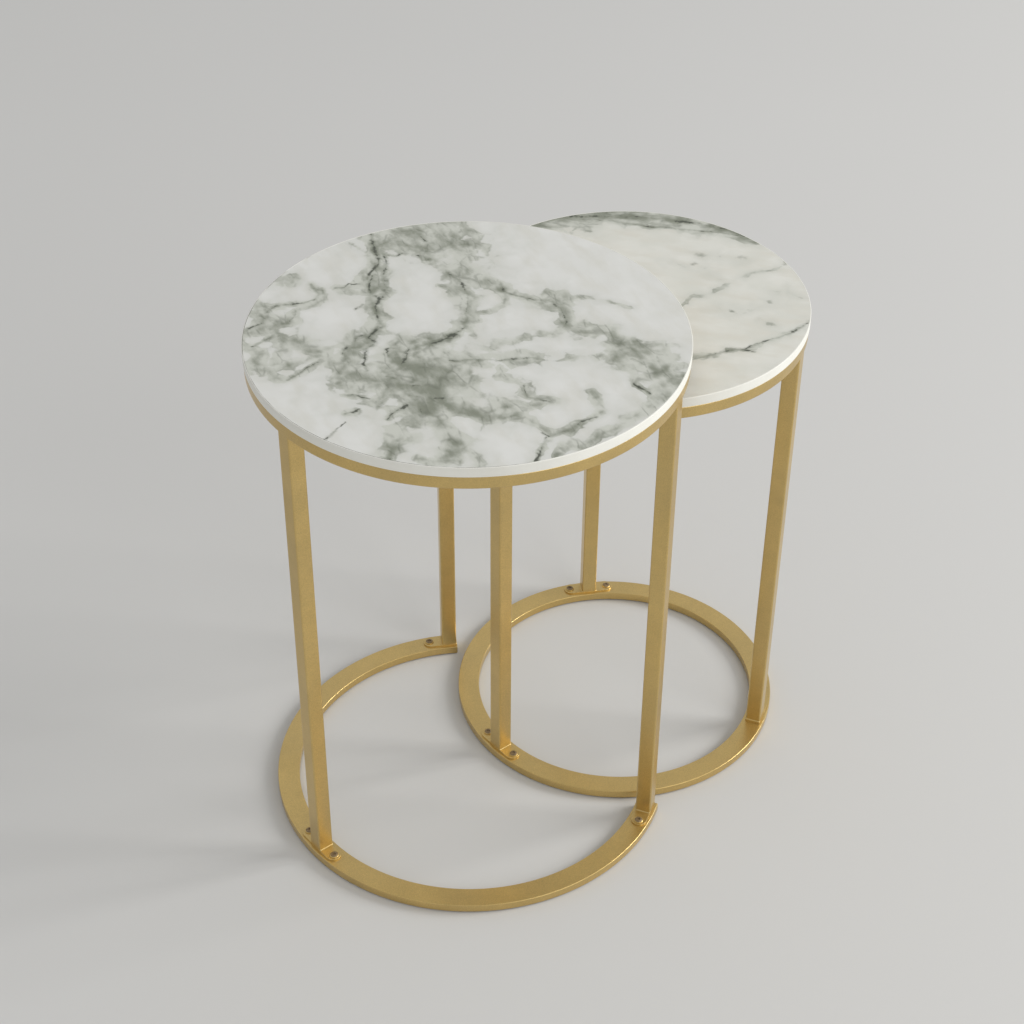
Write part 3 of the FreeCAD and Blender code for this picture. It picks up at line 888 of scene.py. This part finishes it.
def make_marble(table):
    """A polished stone print: white body, grey-green clouds, and thin dark veins."""
    clouds, veins, whites, lie = STONES[table]
    middle = tuple(SIZES[table].axis)
    finish, tree, shader, coords = new_finish(f"{table} top marble")
    spots = use_group(tree, STONE_PLACE, Object=coords, Middle=middle, Pull=9.0, Fray=5.0, Lie=lie)
    loose, cloud = draw_clouds(tree, spots, clouds)
    tone, wash = tint_clouds(tree, spots, loose)
    body = tint_body(tree, spots, loose, tone, whites)
    stone = blend(tree, sums(tree, "MULTIPLY", cloud, CLOUD_COVER), body, wash)
    stone = draw_rims(tree, spots, loose, stone)
    stone = draw_cracks(tree, spots, loose, stone)
    stone = draw_thin_veins(tree, spots, veins, tone, stone)
    gloss = grain(tree, spots["Flat"], scale=0.4, detail=3, roughness=0.6)
    colour_surface(tree, shader, stone, stir(tree, 0.45, gloss, times=0.1))
    shader.inputs["Specular IOR Level"].default_value = 0.35
    polish = grain(tree, spots["Flat"], scale=1.5)
    raise_surface(tree, shader, polish, strength=0.04, distance=0.05 * MM)
    return finish


def draw_clouds(tree, spots, clouds):
    """How deep inside a cloud a place lies, and how much of it the cloud covers.

    Clouds swell between the pebbles of white stone and run out along their joints.
    """
    billow = swing(tree, grain(tree, spots["Place"], scale=0.045, detail=4))
    joint = pebble_joint(tree, spots["Frayed"], scale=0.036)
    near = draw_strokes(tree, spots["Place"], clouds, breadth=1.18)
    loose = stir(tree, near, billow, times=2.8)
    loose = stir(tree, loose, sums(tree, "SUBTRACT", JOINT_REACH, joint), times=3.0)
    soft = grain(tree, spots["Flat"], scale=0.02)
    soft = ease(tree, soft, start=0.42, end=0.64, low=0.2, high=1.4)
    cloud = sums(tree, "DIVIDE", sums(tree, "ADD", loose, CLOUD_SPREAD), soft)
    return loose, ease(tree, cloud, start=-0.5, end=0.5)


def tint_clouds(tree, spots, loose):
    """Inside a cloud: from a pale wash to a dark grey-green, streaked along the bedding."""
    streak = grain(tree, spots["Bedding"], scale=0.085, detail=4, roughness=0.55)
    streak = swing(tree, streak)
    tone = swing(tree, grain(tree, spots["Place"], scale=0.03, detail=3))
    deep = ease(tree, loose, start=-0.6, end=2.4, low=0.0, high=1.5)
    deep = stir(tree, deep, tone, times=2.8)
    deep = stir(tree, deep, streak, times=2.2)
    return tone, blend(tree, ease(tree, deep, start=-0.1, end=1.7), *WASHES)


def tint_body(tree, spots, loose, tone, whites):
    """The white stone: in patches, in bands along the bedding, and hazy near a cloud."""
    patch = ease(tree, grain(tree, spots["Flat"], scale=0.02, detail=3), start=0.35, end=0.7)
    body = blend(tree, patch, whites[0], whites[1])
    band = ease(tree, grain(tree, spots["Bedding"], scale=0.05, detail=3), start=0.4, end=0.75)
    body = blend(tree, band, body, whites[2])
    haze = stir(tree, loose, tone, times=2.0)
    return blend(tree, ease(tree, haze, start=-2.4, end=0.3, low=0.0, high=0.36), body, HAZE)


def draw_rims(tree, spots, loose, stone):
    """A darker line comes and goes where a cloud meets a pebble."""
    rim = sums(tree, "ABSOLUTE", loose)
    shows = grain(tree, spots["Place"], scale=0.03, detail=3, roughness=0.55)
    shows = ease(tree, shows, start=0.46, end=0.66)
    rim = ease(tree, rim, start=0.0, end=0.4, low=0.45, high=0.0)
    return blend(tree, sums(tree, "MULTIPLY", rim, shows), stone, VEIN_SHADE)


def draw_cracks(tree, spots, loose, stone):
    """Fine cracks wander through the clouds."""
    crack = pebble_joint(tree, spots["Bedding"], scale=0.075)
    crack = ease(tree, crack, start=0.0, end=0.1, low=0.36, high=0.0)
    crack = sums(tree, "MULTIPLY", crack, ease(tree, loose, start=-0.6, end=0.5))
    shows = ease(tree, grain(tree, spots["Flat"], scale=0.05, detail=3), start=0.45, end=0.6)
    return blend(tree, sums(tree, "MULTIPLY", crack, shows), stone, CRACK_DARK)


def draw_thin_veins(tree, spots, veins, tone, stone):
    """Thin veins: a grey shade beside each, and a dark line that comes and goes."""
    line = draw_strokes(tree, spots["Frayed"], veins, breadth=0.72)
    fine = swing(tree, grain(tree, spots["Place"], scale=0.24, detail=3))
    shade = stir(tree, stir(tree, line, fine, times=3.0), tone, times=5.0)
    shade = ease(tree, shade, start=-2.6, end=1.0, low=0.0, high=0.5)
    stone = blend(tree, shade, stone, VEIN_SHADE)
    gaps = swing(tree, grain(tree, spots["Flat"], scale=0.06, detail=3))
    thin = stir(tree, stir(tree, line, fine, times=3.5), gaps, times=9.0)
    thin = ease(tree, thin, start=-0.1, end=1.8, low=0.0, high=0.88)
    return blend(tree, thin, stone, VEIN_DARK)


def pebble_joint(tree, place, scale):
    """Distance to the nearest joint between the pebbles of a stone, in pebble widths."""
    node = set_up(tree, "ShaderNodeTexVoronoi", feature="DISTANCE_TO_EDGE")
    feed(tree, node.inputs["Vector"], place)
    node.inputs["Scale"].default_value = scale
    node.inputs["Randomness"].default_value = 1.0
    return node.outputs["Distance"]


def make_edge_cream():
    """The slab's edge and underside: a creamy satin body with a faint grain."""
    finish, tree, shader, coords = new_finish("slab edge cream")
    cloud = grain(tree, coords, scale=35, detail=4, roughness=0.6)
    fine = grain(tree, coords, scale=1800)
    mixed = stir(tree, cloud, swing(tree, fine), times=0.5)
    colour = blend(tree, ease(tree, mixed, start=0.3, end=0.75), *EDGE_CREAMS)
    colour_surface(tree, shader, colour, stir(tree, 0.36, cloud, times=0.12))
    raise_surface(tree, shader, fine, strength=0.08, distance=0.05 * MM)
    return finish


def make_seam_grey():
    """The seam: a grey joint line at the back of the large top, with painted light making it
    lighter towards the small one.
    """
    finish, tree, shader, coords = new_finish("face seam grey")
    cloud = grain(tree, coords, scale=28, detail=3, roughness=0.6)
    east = set_up(tree, "ShaderNodeSeparateXYZ")
    feed(tree, east.inputs[0], coords)
    # Painted light: towards +X the seam's grey is painted over with a lighter cream, so the line
    # fades on the side where light falls
    painted_light_side = ease(tree, east.outputs["X"], start=-0.26, end=-0.02, low=0.0, high=0.4)
    painted_light_share = ease(tree, sums(tree, "ADD", cloud, painted_light_side), start=0.42, end=0.7)
    colour = blend(tree, painted_light_share, *SEAM_GREY_AND_PAINTED_LIGHT)
    colour_surface(tree, shader, colour, stir(tree, 0.5, cloud, times=0.2))
    return finish


def make_gold():
    """Satin gold coat on steel, with fine flecks and a faint unevenness."""
    finish, tree, shader, coords = new_finish("satin gold")
    flecks = use_group(tree, FLECKS, Object=coords, Scale=0.45, Contrast=0.9)
    tone = grain(tree, coords, scale=9, detail=4, roughness=0.55)
    colour = blend(tree, ease(tree, tone, start=0.3, end=0.7), *GOLD_TONES)
    colour = arrows(tree, "SCALE", colour, scale=flecks["Brightness"])
    shader.inputs["Metallic"].default_value = 0.86
    shader.inputs["Coat Weight"].default_value = 0.3
    shader.inputs["Coat Roughness"].default_value = 0.26
    handled = grain(tree, coords, scale=22, detail=4, roughness=0.6)
    rough = stir(tree, 0.27, handled, times=0.12)
    rough = stir(tree, rough, swing(tree, flecks["Height"]), times=0.12)
    colour_surface(tree, shader, colour, rough)
    raise_surface(tree, shader, flecks["Height"], strength=0.25, distance=0.06 * MM)
    return finish


def make_screw_steel():
    """Dark brownish steel of the screw heads."""
    finish, tree, shader, coords = new_finish("screw steel")
    flecks = use_group(tree, FLECKS, Object=coords, Scale=1.4, Contrast=0.7)
    tone = grain(tree, coords, scale=500, detail=3, roughness=0.6)
    tone = ease(tree, tone, start=0.35, end=0.7)
    colour = blend(tree, tone, *STEEL_TONES)
    colour = arrows(tree, "SCALE", colour, scale=flecks["Brightness"])
    shader.inputs["Metallic"].default_value = 0.45
    colour_surface(tree, shader, colour, stir(tree, 0.45, tone, times=0.15))
    raise_surface(tree, shader, flecks["Height"], strength=0.15, distance=0.05 * MM)
    return finish


def make_felt():
    """Grey-brown felt: matted fibres."""
    finish, tree, shader, coords = new_finish("felt")
    fibre = grain(tree, coords, scale=1500, detail=4, roughness=0.75, distortion=1.2)
    mat = grain(tree, coords, scale=220, detail=3, roughness=0.6)
    mixed = stir(tree, sums(tree, "MULTIPLY", mat, 0.4), fibre, times=0.6)
    colour = blend(tree, ease(tree, mixed, start=0.35, end=0.65), *FELT_TONES)
    colour_surface(tree, shader, colour, stir(tree, 0.88, mat, times=0.1))
    raise_surface(tree, shader, mixed, strength=0.6, distance=0.3 * MM)
    return finish


def make_floor_finish():
    """A plain pale floor."""
    finish, tree, shader, coords = new_finish("studio floor")
    cloud = grain(tree, coords, scale=0.8, detail=3)
    colour_surface(tree, shader, blend(tree, cloud, *FLOOR_TONES), 0.9)
    shader.inputs["Specular IOR Level"].default_value = 0.1
    return finish


EDGE = make_edge_cream()
SEAM = make_seam_grey()
GOLD = make_gold()
STEEL = make_screw_steel()
FELT = make_felt()


# ---- putting the tables together


def finish_with(piece, finish, body, slot, *nodes):
    if finish is not None:
        piece.data.materials.clear()
        piece.data.materials.append(finish)
    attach(piece, body)
    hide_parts(*nodes)


def build_table(table, marble):
    size = SIZES[table]
    body = f"{table}_table"
    slab = make_slab(table, size, (EDGE, marble, SEAM))
    finish_with(slab, None, body, f"stone_{table}", f"{table}_tabletop")

    hoop = make_hoop(f"{table}_hoop", size.axis, size.hoop_radius, TUBE_DEPTH,
                     size.heights["top_ring"], HOOP_ARRIS,
                     start=math.pi, sweep=FULL_TURN, steps=HOOP_STEPS)
    finish_with(hoop, GOLD, body, "gold_frame", f"{table}_top_ring")

    half = C_HALF_SWEEP if table == "large" else math.pi
    bar = make_hoop(f"{table}_base_bar", size.axis, size.bar_radius, BAR_WIDTH,
                    size.heights["base_ring"], BAR_ARRIS,
                    start=math.pi - half, sweep=2 * half,
                    steps=round(HOOP_STEPS * half / math.pi))
    finish_with(bar, GOLD, body, "gold_frame", f"{table}_base_ring")

    back_post = make_back_post(table, size)
    plates, screws = [], []
    master = make_screw(size, (GOLD, STEEL))
    for side, angle in TURNS.items():
        turn = about(size.axis, angle)
        post = back_post
        if side != "back":
            post = copy_turned(back_post, f"{table}_post_{side}", turn)
        finish_with(post, GOLD, body, "gold_frame", f"{table}_leg_{side}")
        # Seen from the axis, a turn by +1 at the back goes towards -Y.
        tabs = TABS[table][side]
        plate = make_tab_plate(table, side, size, [-tab for tab in tabs])
        plate.data.transform(turn)
        plates.append(plate)
        for tab in tabs:
            seat = Vector((size.axis.x - size.post_radius, -tab * SCREW_ASIDE, 0))
            place = turn @ Matrix.Translation(seat)
            spin = Matrix.Rotation(NEXT_SPIN * len(screws) + FIRST_SPIN, 4, "Z")
            screws.append(copy_turned(master, f"{table}_screw_{len(screws)}", place @ spin))
    bpy.data.objects.remove(master)
    finish_with(join_as(f"{table}_foot_plates", plates), GOLD, body, "gold_frame",
                f"{table}_leg_plates")
    finish_with(join_as(f"{table}_screw_heads", screws), None, body, "screw_steel",
                f"{table}_base_screws")
    finish_with(lay_pads(table, size), FELT, body, "felt", f"{table}_base_pads")


def lay_pads(table, size):
    """Pads all round the small ring, and between the cut ends of the large one."""
    radius = size.bar_radius - BAR_WIDTH / 2
    master = make_pad(f"{table}_pad_master", size, radius)
    if table == "small":
        angles = [math.radians(360 / SMALL_PADS * k) for k in range(SMALL_PADS)]
    else:
        last = C_HALF_SWEEP - (PAD_LONG / 2 + PAD_FROM_END) / radius
        aside = LARGE_PADS_ASIDE
        angles = [last * k / aside for k in range(-aside, aside + 1)]
    pads = [
        copy_turned(master, f"{table}_pad_{k}", about(size.axis, angle))
        for k, angle in enumerate(angles)
    ]
    bpy.data.objects.remove(master)
    return join_as(f"{table}_felt_pads", pads)


# ---- studio


def lay_floor():
    lay_down_tools()
    bpy.ops.mesh.primitive_plane_add(size=FLOOR_SIZE, location=(0, 0, 0))
    floor = bpy.context.object
    floor.name = "studio_floor"
    floor.data.materials.append(make_floor_finish())
    lay_down_tools()


def hang_lamp(name, place, side, power):
    """A square lamp that looks at the tables."""
    lamp = bpy.data.lights.new(name, "AREA")
    lamp.shape = "RECTANGLE"
    lamp.size = lamp.size_y = side
    lamp.energy = power
    lamp.color = LAMP_WHITE
    holder = bpy.data.objects.new(name, lamp)
    holder.location = place
    holder.rotation_mode = "QUATERNION"
    holder.rotation_quaternion = (LAMP_AIM - place).to_track_quat("-Z", "Y")
    bpy.context.scene.collection.objects.link(holder)


def light_studio():
    world = bpy.data.worlds.new("studio air")
    world.use_nodes = True
    back = world.node_tree.nodes["Background"]
    back.inputs["Color"].default_value = AIR_WHITE
    back.inputs["Strength"].default_value = AIR_STRENGTH
    bpy.context.scene.world = world
    for name, (place, side, power) in LAMPS.items():
        hang_lamp(name, place, side, power)


def set_camera():
    lens = bpy.data.cameras.new("camera")
    lens.lens = LENS_LENGTH
    lens.sensor_width = FILM_WIDTH
    lens.shift_x, lens.shift_y = LENS_SHIFT
    camera = bpy.data.objects.new("camera", lens)
    turn = Matrix((CAMERA_RIGHT, CAMERA_UP, -CAMERA_AHEAD)).transposed().to_4x4()
    camera.matrix_world = Matrix.Translation(CAMERA_PLACE) @ turn
    bpy.context.scene.collection.objects.link(camera)
    bpy.context.scene.camera = camera


set_camera()
lay_floor()
light_studio()
for table in TABLES:
    build_table(table, make_marble(table))

bpy.context.scene.view_settings.view_transform = "Standard"

bpy.context.view_layer.update()
